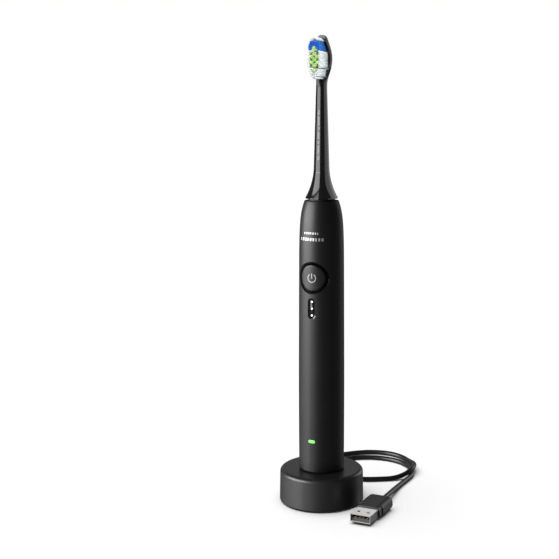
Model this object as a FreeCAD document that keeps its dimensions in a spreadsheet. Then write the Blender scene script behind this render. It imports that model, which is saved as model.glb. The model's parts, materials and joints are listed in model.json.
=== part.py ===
"""Sonic toothbrush standing on its round USB charger, as a parametric FreeCAD document.

Millimetres, +Z up. The origin is the middle of the charger's underside, on the table. The handle faces -Y.
The charger, its cord and its plug are drawn with the cord leaving along +Y, then turned together by
charger_turn, because a round charger can stand at any angle under the handle.
"""

import FreeCAD, Part

import math
import os

import Sketcher

doc = FreeCAD.newDocument("toothbrush")
sheet = doc.addObject("Spreadsheet::Sheet", "dims")
Vector = FreeCAD.Vector

ALONG_Y = FreeCAD.Rotation(Vector(1, 0, 0), -90)


# ---------------------------------------------------------------- sizes that carry their own formula


class Size:
    """A length that keeps its number and the formula over the spreadsheet's cells that gives it."""

    def __init__(self, number, formula):
        self.number = number
        self.formula = formula

    def __add__(self, other):
        other = size(other)
        return Size(self.number + other.number, f"({self.formula} + {other.formula})")

    def __sub__(self, other):
        other = size(other)
        return Size(self.number - other.number, f"({self.formula} - {other.formula})")

    def __mul__(self, factor):
        return Size(self.number * factor, f"({self.formula} * {factor})")

    def __neg__(self):
        return Size(-self.number, f"(0 - {self.formula})")

    __radd__ = __add__


def size(value):
    return value if isinstance(value, Size) else Size(float(value), f"{value}")


def driving(alias, number):
    """Writes one driving dimension to the next row of the sheet."""
    driving.row += 1
    sheet.set(f"A{driving.row}", alias)
    sheet.set(f"B{driving.row}", str(number))
    sheet.setAlias(f"B{driving.row}", alias)
    return Size(float(number), f"dims.{alias}")


driving.row = 0

# Charger
base_radius = driving("base_radius", 24.5)
base_height = driving("base_height", 19.5)
base_round = driving("base_round", 2.2)
base_draft = driving("base_draft", 0.3)
base_lift = driving("base_lift", 0.7)
base_wall = driving("base_wall", 1.8)
roof_wall = driving("roof_wall", 2.2)
post_radius = driving("post_radius", 4.75)
post_height = driving("post_height", 8.0)
post_bore = driving("post_bore", 3.7)
plate_thick = driving("plate_thick", 1.6)
boss_circle = driving("boss_circle", 14.5)
charger_turn = driving("charger_turn", 26.0)
exit_height = driving("exit_height", 6.5)
cord_radius = driving("cord_radius", 1.45)
relief_reach = driving("relief_reach", 33.0)
# Handle
handle_bottom = driving("handle_bottom", 19.8)
handle_length = driving("handle_length", 156.0)
handle_foot_radius = driving("handle_foot_radius", 13.05)
handle_grip_radius = driving("handle_grip_radius", 12.74)
handle_barrel = driving("handle_barrel", 8000.0)
handle_top_radius = driving("handle_top_radius", 9.7)
shoulder_start = driving("shoulder_start", 150.0)
shoulder_mid_height = driving("shoulder_mid_height", 167.3)
shoulder_mid_radius = driving("shoulder_mid_radius", 11.75)
edge_round = driving("edge_round", 0.8)
bore_radius = driving("bore_radius", 11.3)
nose_radius = driving("nose_radius", 7.5)
button_height = driving("button_height", 133.2)
button_radius = driving("button_radius", 7.4)
ring_radius = driving("ring_radius", 9.2)
ring_inner = driving("ring_inner", 7.7)
ring_depth = driving("ring_depth", 0.85)
window_height = driving("window_height", 115.8)
window_width = driving("window_width", 5.0)
window_length = driving("window_length", 12.2)
dot_pitch = driving("dot_pitch", 3.9)
dot_radius = driving("dot_radius", 0.75)
lens_height = driving("lens_height", 38.4)
lens_width = driving("lens_width", 4.2)
lens_length = driving("lens_length", 1.9)
board_front = driving("board_front", 6.6)
board_thick = driving("board_thick", 0.8)
board_width = driving("board_width", 17.6)
cell_radius = driving("cell_radius", 6.9)
cell_length = driving("cell_length", 50.0)
cell_offset = driving("cell_offset", 2.6)
cell_bottom = driving("cell_bottom", 37.0)
socket_radius = driving("socket_radius", 5.05)
chassis_radius = driving("chassis_radius", 11.1)
chassis_inner = driving("chassis_inner", 9.9)
chassis_bottom = driving("chassis_bottom", 31.5)
chassis_top = driving("chassis_top", 157.0)
# Drive
shaft_radius = driving("shaft_radius", 2.0)
shaft_top = driving("shaft_top", 197.0)
hub_bottom = driving("hub_bottom", 119.0)
bearing_radius = driving("bearing_radius", 4.0)
bearing_bore = driving("bearing_bore", 2.05)
frame_radius = driving("frame_radius", 9.7)
frame_front = driving("frame_front", 5.2)
core_depth = driving("core_depth", 5.6)
core_width = driving("core_width", 14.8)
air_gap = driving("air_gap", 0.5)
spring_radius = driving("spring_radius", 3.6)
spring_wire = driving("spring_wire", 0.45)
# Brush head
head_bottom = driving("head_bottom", 177.0)
head_base_radius = driving("head_base_radius", 9.2)
neck_waist = driving("neck_waist", 4.45)
neck_top_radius = driving("neck_top_radius", 3.1)
neck_top = driving("neck_top", 238.0)
pad_front = driving("pad_front", 0.3)
tuft_tip = driving("tuft_tip", 10.0)
tuft_root = driving("tuft_root", 1.2)
coupling_radius = driving("coupling_radius", 3.0)
# Plug
plug_along = driving("plug_along", 25.0)
plug_mouth_right = driving("plug_mouth_right", 21.2)
plug_mouth_front = driving("plug_mouth_front", 41.8)
plug_middle = driving("plug_middle", 3.8)
shell_width = driving("shell_width", 12.0)
shell_height = driving("shell_height", 4.5)
shell_show = driving("shell_show", 10.9)
shell_skin = driving("shell_skin", 0.3)
grip_width = driving("grip_width", 15.2)
grip_thick = driving("grip_thick", 7.6)
grip_length = driving("grip_length", 18.8)
lip_length = driving("lip_length", 4.4)

doc.recompute()
sub_parts = []


# ---------------------------------------------------------------- how pieces are made


def keep(obj, label):
    """Marks a finished object as a sub-part of its own."""
    obj.Label = label
    sub_parts.append(obj)
    return obj


def bind(obj, **sizes):
    for name, value in sizes.items():
        obj.setExpression(name, size(value).formula)


def put(obj, x, y, z, rotation=None):
    if rotation is not None:
        obj.Placement = FreeCAD.Placement(Vector(0, 0, 0), rotation)
    for axis, value in zip("xyz", (x, y, z)):
        obj.setExpression(f"Placement.Base.{axis}", size(value).formula)
    return obj


def box(x, y, z, long_x, long_y, long_z):
    """A block from its lowest corner."""
    obj = doc.addObject("Part::Box", "block")
    bind(obj, Length=long_x, Width=long_y, Height=long_z)
    return put(obj, x, y, z)


def centred_box(x, y, z, long_x, long_y, long_z):
    """A block whose x and y are its middle, and z its bottom."""
    corner_x = size(x) - size(long_x) * 0.5
    corner_y = size(y) - size(long_y) * 0.5
    return box(corner_x, corner_y, z, long_x, long_y, long_z)


def upright(x, y, z, radius, height):
    obj = doc.addObject("Part::Cylinder", "round")
    bind(obj, Radius=radius, Height=height)
    return put(obj, x, y, z)


def forward(x, y, z, radius, length):
    """A cylinder along +Y that starts at y."""
    obj = doc.addObject("Part::Cylinder", "round_y")
    bind(obj, Radius=radius, Height=length)
    return put(obj, x, y, z, ALONG_Y)


def pair(kind, base, tool):
    obj = doc.addObject(f"Part::{kind}", kind.lower())
    obj.Base = base
    obj.Tool = tool
    return obj


def cut(base, *tools):
    for tool in tools:
        base = pair("Cut", base, tool)
    return base


def common(base, tool):
    return pair("Common", base, tool)


def fuse(*pieces):
    obj = doc.addObject("Part::MultiFuse", "fused")
    obj.Shapes = list(pieces)
    obj.Refine = True
    return obj


def group(*pieces):
    """Separate solids that share one node."""
    obj = doc.addObject("Part::Compound", "group")
    obj.Links = list(pieces)
    return obj


def tube(x, y, z, outer, inner, height):
    return cut(upright(x, y, z, outer, height), upright(x, y, z, inner, height))


def rounded(obj, radius, wanted):
    """Part::Fillet on the edges that the test picks."""
    doc.recompute()
    filleted = doc.addObject("Part::Fillet", "rounded")
    filleted.Base = obj
    chosen = [i + 1 for i, edge in enumerate(obj.Shape.Edges) if wanted(edge)]
    filleted.Edges = [(i, size(radius).number, size(radius).number) for i in chosen]
    return filleted


def plane(body, role):
    for feature in body.Origin.OriginFeatures:
        if feature.Role == role:
            return feature
    raise ValueError(role)


class Outline:
    """A closed sketch of straight stretches and arcs whose corners are Sizes."""

    def __init__(self, body, role, name):
        self.sketch = body.newObject("Sketcher::SketchObject", name)
        self.sketch.AttachmentSupport = [(plane(body, role), "")]
        self.sketch.MapMode = "FlatFace"
        self.stretches = []

    def start(self, across, up):
        self.first = self.at = (size(across), size(up))
        return self

    def line(self, across, up):
        return self.add(across, up, 0, None)

    def arc(self, across, up, side, radius=None):
        """An arc that bulges to one side (+1 left of the way it runs, -1 right). Without a radius it
        starts tangent to the stretch before it."""
        return self.add(across, up, side, radius if radius is None else size(radius))

    def add(self, across, up, side, radius):
        end = (size(across), size(up))
        self.stretches.append((self.at, end, side, radius))
        self.at = end
        return self

    def draw(self, start, end, side, radius, heading):
        """Adds one stretch; gives its geometry number, its two point numbers and its last heading."""
        a = Vector(start[0].number, start[1].number, 0)
        b = Vector(end[0].number, end[1].number, 0)
        chord = b - a
        way = math.atan2(chord.y, chord.x)
        if side == 0:
            return self.sketch.addGeometry(Part.LineSegment(a, b), False), 1, 2, way
        if radius is None:
            half_turn = abs((heading - way + math.pi) % (2 * math.pi) - math.pi)
            r = chord.Length / 2 / math.sin(half_turn)
        else:
            r = radius.number
            half_turn = math.asin(chord.Length / 2 / r)
        left = Vector(-chord.y, chord.x, 0).normalize()
        centre = (a + b) * 0.5 - left * (side * r * math.cos(half_turn))
        angle_a = math.atan2(a.y - centre.y, a.x - centre.x)
        angle_b = math.atan2(b.y - centre.y, b.x - centre.x)
        circle = Part.Circle(centre, Vector(0, 0, 1), r)
        low, high = (angle_a, angle_b) if side < 0 else (angle_b, angle_a)
        if high < low:
            high += 2 * math.pi
        number = self.sketch.addGeometry(Part.ArcOfCircle(circle, low, high), False)
        if side < 0:
            return number, 1, 2, way + half_turn
        return number, 2, 1, way - half_turn

    def close(self):
        if any(abs(a.number - b.number) > 1e-9 for a, b in zip(self.at, self.first)):
            self.line(*self.first)
        sketch, drawn, heading = self.sketch, [], 0
        for stretch in self.stretches:
            *ends, heading = self.draw(*stretch, heading)
            drawn.append(ends)
        for i, (number, _, at_end) in enumerate(drawn):
            following, its_start, _ = drawn[(i + 1) % len(drawn)]
            _, _, side, radius = self.stretches[(i + 1) % len(drawn)]
            kind = "Tangent" if side and radius is None else "Coincident"
            sketch.addConstraint(Sketcher.Constraint(kind, number, at_end, following, its_start))
        for (start, _, side, radius), (number, at_start, _) in zip(self.stretches, drawn):
            self.drive("DistanceX", (-1, 1, number, at_start), start[0])
            self.drive("DistanceY", (-1, 1, number, at_start), start[1])
            if radius is not None:
                self.drive("Radius", (number,), radius)
        return sketch

    def drive(self, kind, where, value):
        number = self.sketch.addConstraint(Sketcher.Constraint(kind, *where, value.number))
        self.sketch.setExpression(f"Constraints[{number}]", value.formula)


def new_body():
    return doc.addObject("PartDesign::Body", "body")


def revolve(body, sketch):
    feature = body.newObject("PartDesign::Revolution", "turned")
    feature.Profile = sketch
    feature.ReferenceAxis = (sketch, ["V_Axis"])
    feature.Angle = 360
    return feature


def turned(outline):
    """A body turned from one outline of (radius, height) corners."""
    body = new_body()
    sketch = Outline(body, "XZ_Plane", "section").start(*outline[0])
    for corner in outline[1:]:
        sketch.line(*corner)
    revolve(body, sketch.close())
    return body


def open_front(body, sketch, depth=20):
    """Cuts an outline drawn on the XZ plane out of the front of a body, and stops the build if the
    front lost nothing."""
    doc.recompute()
    before = body.Shape.CenterOfGravity.y
    feature = body.newObject("PartDesign::Pocket", "opening")
    feature.Profile = sketch
    bind(feature, Length=depth)
    feature.Reversed = True
    doc.recompute()
    if not body.Shape.CenterOfGravity.y > before + 1e-4:
        raise RuntimeError(f"{sketch.Name} cut nothing from the front")


def circle_sketch(body, name, radius, up):
    """A circle on the XZ plane, its middle on the axis."""
    sketch = body.newObject("Sketcher::SketchObject", name)
    sketch.AttachmentSupport = [(plane(body, "XZ_Plane"), "")]
    sketch.MapMode = "FlatFace"
    sketch.addGeometry(Part.Circle(Vector(0, up.number, 0), Vector(0, 0, 1), radius.number), False)
    sketch.addConstraint(Sketcher.Constraint("DistanceX", -1, 1, 0, 3, 0))
    for kind, where, value in (("DistanceY", (-1, 1, 0, 3), up), ("Radius", (0,), radius)):
        number = sketch.addConstraint(Sketcher.Constraint(kind, *where, value.number))
        sketch.setExpression(f"Constraints[{number}]", value.formula)
    return sketch


def slot_outline(body, name, half_width, half_length, up):
    """A slot standing on end, on the XZ plane."""
    reach = size(half_length) - size(half_width)
    sketch = Outline(body, "XZ_Plane", name).start(half_width, size(up) - reach)
    sketch.line(half_width, size(up) + reach)
    sketch.arc(-size(half_width), size(up) + reach, -1)
    sketch.line(-size(half_width), size(up) - reach)
    sketch.arc(half_width, size(up) - reach, -1)
    return sketch.close()


def slot_bar(width, length, up, front, back):
    """A solid bar along Y with a slot section that stands on end, from y = -front to y = -back."""
    half = size(width) * 0.5
    reach = (size(length) - size(width)) * 0.5
    deep = size(front) - size(back)
    low = forward(0, -size(front), size(up) - reach, half, deep)
    high = forward(0, -size(front), size(up) + reach, half, deep)
    middle = box(-half, -size(front), size(up) - reach, width, deep, reach * 2)
    return fuse(low, middle, high)


def lying_slot_bar(width, length, up, front, back):
    """The same, with the long side across."""
    half = size(length) * 0.5
    reach = (size(width) - size(length)) * 0.5
    deep = size(front) - size(back)
    left = forward(-reach, -size(front), up, half, deep)
    right = forward(reach, -size(front), up, half, deep)
    middle = box(-reach, -size(front), size(up) - half, reach * 2, deep, length)
    return fuse(left, middle, right)


def turn_with_charger(obj):
    obj.setExpression("Placement.Rotation.Angle", charger_turn.formula)
    return obj


# ---------------------------------------------------------------- charger: housing, post and underside
housing_bottom = base_lift
outer_low = base_radius
outer_high = base_radius - base_draft
roof_under = base_height - roof_wall
body = new_body()
shell = Outline(body, "XZ_Plane", "section").start(outer_low - base_wall, housing_bottom)
shell.line(outer_low - edge_round, housing_bottom)
shell.arc(outer_low, housing_bottom + edge_round, -1, edge_round)
shell.line(outer_high, base_height - base_round)
shell.arc(outer_high - base_round, base_height, -1, base_round)
shell.line(post_radius, base_height)
shell.line(post_radius, base_height + post_height - edge_round)
shell.arc(post_radius - edge_round, base_height + post_height, -1, edge_round)
shell.line(0, base_height + post_height)
shell.line(0, base_height + post_height - 1)
shell.line(post_bore, base_height + post_height - 1)
shell.line(post_bore, roof_under)
shell.line(outer_high - base_wall - 0.4, roof_under)
revolve(body, shell.close())
boss_height = roof_under - (housing_bottom + plate_thick)
bosses, pilots = [], []
BOSS_SPOTS = [(boss_circle * round(math.cos(a), 6), boss_circle * round(math.sin(a), 6))
              for a in map(math.radians, (30, 150, 270))]
for across, away in BOSS_SPOTS:
    bosses.append(upright(across, away, housing_bottom + plate_thick, 2.4, boss_height))
    pilots.append(upright(across, away, housing_bottom, 0.8, boss_height))
exit_hole = forward(0, base_radius - base_wall - 2, exit_height, 2.7, 6)
housing = cut(fuse(body, *bosses), exit_hole, *pilots)
keep(turn_with_charger(housing), "charger_housing")

plate_radius = outer_low - base_wall - 0.15
foot_inner = size(17.6)
foot_outer = size(21.4)
foot_groove = size(0.6)
plate = turned([(0, housing_bottom), (foot_inner, housing_bottom),
                (foot_inner, housing_bottom + foot_groove), (foot_outer, housing_bottom + foot_groove),
                (foot_outer, housing_bottom), (plate_radius, housing_bottom),
                (plate_radius, housing_bottom + plate_thick), (0, housing_bottom + plate_thick)])
screw_holes, screws = [], []
for across, away in BOSS_SPOTS:
    screw_holes.append(upright(across, away, housing_bottom, 1.0, plate_thick))
    screw_holes.append(upright(across, away, housing_bottom, 1.9, 0.9))
    head = upright(across, away, housing_bottom + 0.1, 1.8, 0.8)
    shank = upright(across, away, housing_bottom + 0.9, 0.8, 7)
    driver = centred_box(across, away, housing_bottom + 0.1, 2.4, 0.5, 0.4)
    screws.append(cut(fuse(head, shank), driver))
keep(turn_with_charger(cut(plate, *screw_holes)), "charger_base_plate")
keep(turn_with_charger(group(*screws)), "base_screws")
keep(turned([(foot_inner, 0), (foot_outer, 0), (foot_outer, housing_bottom + foot_groove),
             (foot_inner, housing_bottom + foot_groove)]), "foot_ring")

# ---------------------------------------------------------------- charger: coil, ferrite and board
spool_low = size(8.6)
spool_high = roof_under - 0.1
keep(turned([(0, spool_low - 1.4), (7.2, spool_low - 1.4), (7.2, spool_low), (3.2, spool_low),
             (3.2, base_height + post_height - 1.2), (0, base_height + post_height - 1.2)]),
     "ferrite_core")
keep(turned([(3.3, spool_low + 0.1), (8.8, spool_low + 0.1), (8.8, spool_low + 0.8),
             (4.1, spool_low + 0.8), (4.1, spool_high - 0.7), (8.8, spool_high - 0.7),
             (8.8, spool_high), (3.3, spool_high)]), "primary_bobbin")
keep(turned([(4.1, spool_low + 0.8), (8.3, spool_low + 0.8), (8.3, spool_high - 0.7),
             (4.1, spool_high - 0.7)]), "primary_coil")
board_low = size(3.6)
charger_disc = upright(0, 0, board_low, 19.5, 1.2)
for across, away in BOSS_SPOTS:
    charger_disc = cut(charger_disc, upright(across, away, board_low, 2.6, 1.2))
exit_notch = centred_box(0, 17.5, board_low, 9, 8, 1.2)
keep(turn_with_charger(cut(charger_disc, exit_notch)), "charger_board")
on_board = board_low + 1.2
keep(turn_with_charger(group(
    centred_box(-10.5, -3, on_board, 6, 5, 1.4), centred_box(11, -6, on_board, 5, 5, 2.6),
    upright(9, 11.5, on_board, 2.0, 5.4), upright(-9, 12, on_board, 2.0, 5.4),
    centred_box(0, -9.5, on_board, 3.2, 1.6, 1.2), centred_box(5.5, -15, on_board, 2, 1.25, 0.9),
    centred_box(-6, -14.5, on_board, 2, 1.25, 0.9))), "charger_components")
wires = []
for across in (-0.75, 0.75):
    wires.append(forward(across, 11.6, exit_height, 0.5, base_radius - base_wall - 3.2 - 11.6))
    wires.append(upright(across, 12.1, on_board, 0.5, exit_height - on_board - 0.5))
keep(turn_with_charger(group(fuse(wires[0], wires[1]), fuse(wires[2], wires[3]))), "lead_wires")

# ---------------------------------------------------------------- charger: strain relief, cord and plug
relief_body = new_body()
relief_base = base_radius - base_wall
relief_line = Outline(relief_body, "XZ_Plane", "section").start(0, relief_base - 3.2)
relief_line.line(3.4, relief_base - 3.2).line(3.4, relief_base - 1.2)
relief_line.line(2.65, relief_base - 1.2).line(2.65, relief_base + 2.4)
step = (relief_reach - (relief_base + 2.4)) * (1 / 12)
for rib in range(4):
    top_radius = 2.55 - 0.2 * rib
    foot = relief_base + 2.4 + step * (3 * rib)
    relief_line.line(top_radius, foot).line(top_radius - 0.1, foot + step * 1.8)
    if rib < 3:
        relief_line.line(top_radius - 0.6, foot + step * 1.8)
        relief_line.line(top_radius - 0.6, foot + step * 3)
relief_line.line(1.7, relief_reach).line(0, relief_reach)
revolve(relief_body, relief_line.close())
relief = doc.addObject("Part::Compound", "relief_turned")
relief.Links = [relief_body]
relief_body.Placement = FreeCAD.Placement(Vector(0, 0, exit_height.number), ALONG_Y)
relief_body.setExpression("Placement.Base.z", exit_height.formula)
keep(turn_with_charger(relief), "strain_relief")

# The cord's route in the charger's own frame: out of the relief, down to the table, round one outer
# turn, over itself at the right, back behind the charger, round an inner turn and out to the plug.
CORD_ROUTE = [
    (0.0, 33.0, 6.5), (0.0, 41.0, 6.5), (-1.6, 51.5, 2.6), (-1.2, 61.5, 1.45), (3.4, 70.0, 1.45),
    (11.4, 76.4, 1.45), (21.8, 81.0, 1.45), (33.2, 83.2, 1.45), (44.8, 80.2, 1.45), (52.4, 73.0, 1.45),
    (56.8, 63.0, 1.6), (58.9, 51.5, 3.9), (57.4, 42.0, 4.8), (52.6, 34.8, 3.2), (45.0, 31.0, 1.5),
    (34.6, 29.7, 1.45), (26.0, 29.2, 1.45), (17.0, 32.0, 1.45), (9.0, 38.6, 1.45), (5.2, 48.4, 1.45),
    (6.4, 58.6, 1.45), (12.4, 66.8, 1.45), (21.6, 71.0, 1.45), (31.6, 72.0, 1.45), (41.0, 69.8, 1.45),
    (49.2, 64.4, 1.45), (54.8, 56.2, 1.45), (57.4, 46.4, 1.45), (56.0, 36.7, 1.45), (51.2, 27.0, 1.45),
    (46.4, 17.4, 1.5), (42.6, 7.2, 2.6),
]
plug_way = Vector(math.sin(math.radians(plug_along.number)), math.cos(math.radians(plug_along.number)), 0)
plug_mouth = Vector(plug_mouth_right.number, -plug_mouth_front.number, plug_middle.number)
collar_end = plug_mouth + plug_way * (shell_show + grip_length + 2.4).number
CORD_ROUTE += [tuple(collar_end + plug_way * away) for away in (11.0, 0.0)]


def rounded_route(points):
    """Straight runs joined by tangent arcs, each as large as its two runs allow."""
    points = [Vector(*p) for p in points]
    edges, at, radii = [], points[0], []
    for before, corner, after in zip(points, points[1:], points[2:]):
        into = (corner - before).normalize()
        out = (after - corner).normalize()
        turn = into.getAngle(out)
        back = 0.45 * min((corner - before).Length, (after - corner).Length)
        radii.append(back / math.tan(turn / 2))
        enter, leave = corner - into * back, corner + out * back
        inward = (out - into).normalize()
        middle_gap = radii[-1] * (1 / math.cos(turn / 2) - 1)
        edges.append(Part.LineSegment(at, enter).toShape())
        edges.append(Part.Arc(enter, corner + inward * middle_gap, leave).toShape())
        at = leave
    edges.append(Part.LineSegment(at, points[-1]).toShape())
    print("cord radii", [round(r, 1) for r in radii], "length", round(sum(e.Length for e in edges), 1))
    return Part.Wire(edges)


route = rounded_route(CORD_ROUTE)
first_way = Vector(*CORD_ROUTE[1]) - Vector(*CORD_ROUTE[0])
section = Part.Wire([Part.Circle(Vector(*CORD_ROUTE[0]), first_way, cord_radius.number).toShape()])
cord = doc.addObject("Part::Feature", "cord_tube")
cord.Shape = route.makePipeShell([section], True, False)
expected = math.pi * cord_radius.number**2 * route.Length
if abs(cord.Shape.Volume - expected) > 0.01 * expected:
    raise RuntimeError(f"cord volume {cord.Shape.Volume:.1f}, expected {expected:.1f}")
keep(turn_with_charger(cord), "cord")


def place_on_plug(obj):
    """Puts a piece drawn with the plug's mouth at y = 0 and its cord along +Y where the plug lies."""
    lying = doc.addObject("Part::Compound", "on_plug")
    lying.Links = [obj]
    lying.setExpression("Placement.Base.x", plug_mouth_right.formula)
    lying.setExpression("Placement.Base.y", (-plug_mouth_front).formula)
    lying.setExpression("Placement.Base.z", plug_middle.formula)
    lying.setExpression("Placement.Rotation.Angle", (-plug_along).formula)
    outer = doc.addObject("Part::Compound", "with_charger")
    outer.Links = [lying]
    return turn_with_charger(outer)


def shell_block(width, high, start, length):
    return centred_box(0, size(start) + size(length) * 0.5, -size(high) * 0.5, width, length, high)


full_shell = shell_block(shell_width, shell_height, 0, shell_show + 6)
hollow = shell_block(shell_width - shell_skin * 2, shell_height - shell_skin * 2, 0, shell_show + 6)
latches = [centred_box(side * 2.9, 5.2, -size(3), 1.6, 2.2, 6) for side in (-1, 1)]
keep(place_on_plug(cut(full_shell, hollow, *latches)), "usb_shell")
tongue_low = -(shell_height * 0.5 - shell_skin)
tongue_length = shell_show + 4.8
tongue = centred_box(0, tongue_length * 0.5 + 1, tongue_low, shell_width - shell_skin * 2, tongue_length, 1.9)
keep(place_on_plug(tongue), "usb_tongue")
CONTACT_SPREAD = (-3.5, -1.0, 1.0, 3.5)
keep(place_on_plug(group(*[centred_box(x, 6.0, tongue_low + 1.9, 1.0, 8.4, 0.2)
                           for x in CONTACT_SPREAD])), "usb_contacts")


def lengthwise(edge):
    return abs(edge.tangentAt(edge.FirstParameter).y) > 0.9


grip_block = shell_block(grip_width, grip_thick, shell_show + lip_length, grip_length - lip_length)
lip_block = shell_block(grip_width - 0.8, grip_thick - 0.6, shell_show, lip_length)
grip_body = fuse(rounded(grip_block, 3.2, lengthwise), rounded(lip_block, 2.8, lengthwise))
collar = doc.addObject("Part::Cone", "collar")
bind(collar, Radius1=2.9, Radius2=2.2, Height=2.8)
put(collar, 0, shell_show + grip_length - 0.4, 0, ALONG_Y)
cavity = shell_block(shell_width, shell_height, shell_show, 6)
keep(place_on_plug(cut(fuse(grip_body, collar), cavity)), "usb_overmould")

# ---------------------------------------------------------------- handle: housing and end cap
handle_top = handle_bottom + handle_length
body = new_body()
skin = Outline(body, "XZ_Plane", "section").start(bore_radius, handle_bottom)
skin.line(handle_foot_radius - edge_round, handle_bottom)
skin.arc(handle_foot_radius, handle_bottom + edge_round, -1, edge_round)
skin.arc(handle_grip_radius, shoulder_start, -1, handle_barrel)
skin.arc(shoulder_mid_radius, shoulder_mid_height, -1)
skin.arc(handle_top_radius, handle_top - 0.3, -1)
skin.line(handle_top_radius - 0.35, handle_top)
skin.line(nose_radius, handle_top)
skin.line(nose_radius, handle_top - 3.2)
skin.line(8.8, handle_top - 3.2)
skin.line(8.8, handle_top - 6.8)
skin.line(bore_radius, handle_top - 17.8)
revolve(body, skin.close())
open_front(body, circle_sketch(body, "ring_opening", ring_radius, button_height))
half_width, half_length = window_width * 0.5, window_length * 0.5
open_front(body, slot_outline(body, "window_opening", half_width, half_length, window_height))
half_width, half_length = lens_length * 0.5, lens_width * 0.5
lens_reach = half_length - half_width
lens_line = Outline(body, "XZ_Plane", "lens_opening").start(-lens_reach, lens_height - half_width)
lens_line.line(lens_reach, lens_height - half_width)
lens_line.arc(lens_reach, lens_height + half_width, -1)
lens_line.line(-lens_reach, lens_height + half_width)
lens_line.arc(-lens_reach, lens_height - half_width, -1)
open_front(body, lens_line.close())
keep(body, "handle_housing")

cap_radius = bore_radius - 0.05
cap_floor = handle_bottom + 2.2
seal_middle = handle_bottom + 4.8
keep(turned([(socket_radius, handle_bottom + 0.1), (cap_radius, handle_bottom + 0.1),
             (cap_radius, seal_middle - 0.55), (10.35, seal_middle - 0.55),
             (10.35, seal_middle + 0.55), (cap_radius, seal_middle + 0.55),
             (cap_radius, handle_bottom + 7.4), (10.1, handle_bottom + 7.4), (10.1, cap_floor),
             (6.1, cap_floor), (6.1, handle_bottom + 9.8), (0, handle_bottom + 9.8),
             (0, handle_bottom + 8.8), (socket_radius, handle_bottom + 8.8)]), "end_cap")
seal = doc.addObject("Part::Torus", "seal")
bind(seal, Radius1=10.83, Radius2=0.46)
keep(put(seal, 0, 0, seal_middle), "end_cap_seal")
keep(turned([(6.15, cap_floor + 0.1), (9.9, cap_floor + 0.1), (9.9, cap_floor + 0.9),
             (7.0, cap_floor + 0.9), (7.0, cap_floor + 7.6), (9.9, cap_floor + 7.6),
             (9.9, cap_floor + 8.4), (6.15, cap_floor + 8.4)]), "coil_former")
keep(tube(0, 0, cap_floor + 0.9, 9.6, 7.0, 6.7), "charging_coil")

# ---------------------------------------------------------------- handle: button, window and lights
face_radius = handle_grip_radius + 0.1
face_long = size(24)
face_low = button_height - 12


def front_skin(radius, low, high):
    return upright(0, 0, low, radius, size(high) - size(low))


button_back = size(9.6)
cap_bar = forward(0, -size(14), button_height, button_radius, size(14) - button_back)
cap_face = common(cap_bar, front_skin(face_radius + 0.1, face_low, face_low + face_long))
stem = forward(0, -button_back, button_height, 1.8, 1.0)
keep(fuse(cap_face, stem), "power_button")
ring_back = size(7.0)
under_cap = size(8.9)
ring_bar = cut(forward(0, -size(14), button_height, ring_radius, size(14) - ring_back),
               forward(0, -size(14), button_height, ring_inner, size(14) - ring_back))
keep(common(ring_bar, front_skin(face_radius - ring_depth, face_low, face_low + face_long)),
     "button_ring")
gasket = cut(forward(0, -under_cap, button_height, ring_inner, 0.6),
             forward(0, -under_cap, button_height, 2.2, 0.6))
keep(gasket, "button_gasket")
switch_front = board_front + 1.5
switch_case = centred_box(0, -(board_front + 0.75), button_height - 2.6, 5.2, 1.5, 5.2)
plunger_hole = forward(0, -switch_front, button_height, 1.5, 1.2)
keep(cut(switch_case, plunger_hole), "tact_switch")
keep(forward(0, -(button_back - 1.0), button_height, 1.2, 1.1), "switch_plunger")

window_face = front_skin(face_radius - 0.15, window_height - 8, window_height + 8)
window_bar = slot_bar(window_width, window_length, window_height, 14, 10.6)
dots = [window_height + dot_pitch * n for n in (-1, 0, 1)]
window = common(window_bar, window_face)
for up in dots:
    window = cut(window, forward(0, -size(14), up, dot_radius, 6))
keep(window, "mode_window")
led_front = board_front + 0.8
guides = []
for up in dots:
    guide_bar = forward(0, -size(14), up, dot_radius, size(14) - led_front)
    face = front_skin(face_radius - 0.1, up - 2, up + 2)
    guides.append(common(guide_bar, face))
keep(group(*guides), "mode_light_guides")
lens_bar = lying_slot_bar(lens_width, lens_length, lens_height, 14, led_front)
lens_face = front_skin(handle_foot_radius + 0.02, lens_height - 3, lens_height + 3)
keep(common(lens_bar, lens_face), "battery_lens")
leds = [centred_box(0, -(board_front + 0.4), up - 0.5, 1.6, 0.8, 1.0) for up in [*dots, lens_height]]
keep(group(*leds), "indicator_leds")

# ---------------------------------------------------------------- handle: board, battery and chassis
board_back = board_front - board_thick
board_bottom = chassis_bottom + 2.5
board_length = size(116)
keep(box(-(board_width * 0.5), -board_front, board_bottom, board_width, board_thick, board_length),
     "circuit_board")
chip_middle = -(board_front + 0.5)
keep(group(centred_box(-1.5, chip_middle, 62, 7, 1.0, 7), centred_box(4.2, chip_middle, 75, 4, 1.0, 3),
           centred_box(-3.4, chip_middle, 84, 5, 1.0, 4), centred_box(3.6, chip_middle, 52, 3.2, 1.0, 1.6),
           centred_box(-4.5, chip_middle, 48, 2, 1.0, 1.25), centred_box(0.5, chip_middle, 94, 3, 1.0, 3)),
     "board_chips")
cell = fuse(upright(0, cell_offset, cell_bottom, cell_radius, cell_length),
            upright(0, cell_offset, cell_bottom + cell_length, 2.7, 1))
keep(cell, "battery_cell")
tab_low = cell_bottom - 0.25
tab_high = cell_bottom + cell_length + 1
tab_reach = board_back + 5
keep(group(box(-2, -board_back, tab_low, 4, tab_reach, 0.25),
           box(-2, -board_back, tab_high, 4, tab_reach, 0.25)), "battery_tabs")
keep(upright(0, cell_offset, chassis_bottom + 2, 6.2, tab_low - chassis_bottom - 2), "battery_pad")
trough = tube(0, 0, chassis_bottom, chassis_radius, chassis_inner, chassis_top - chassis_bottom)
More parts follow.
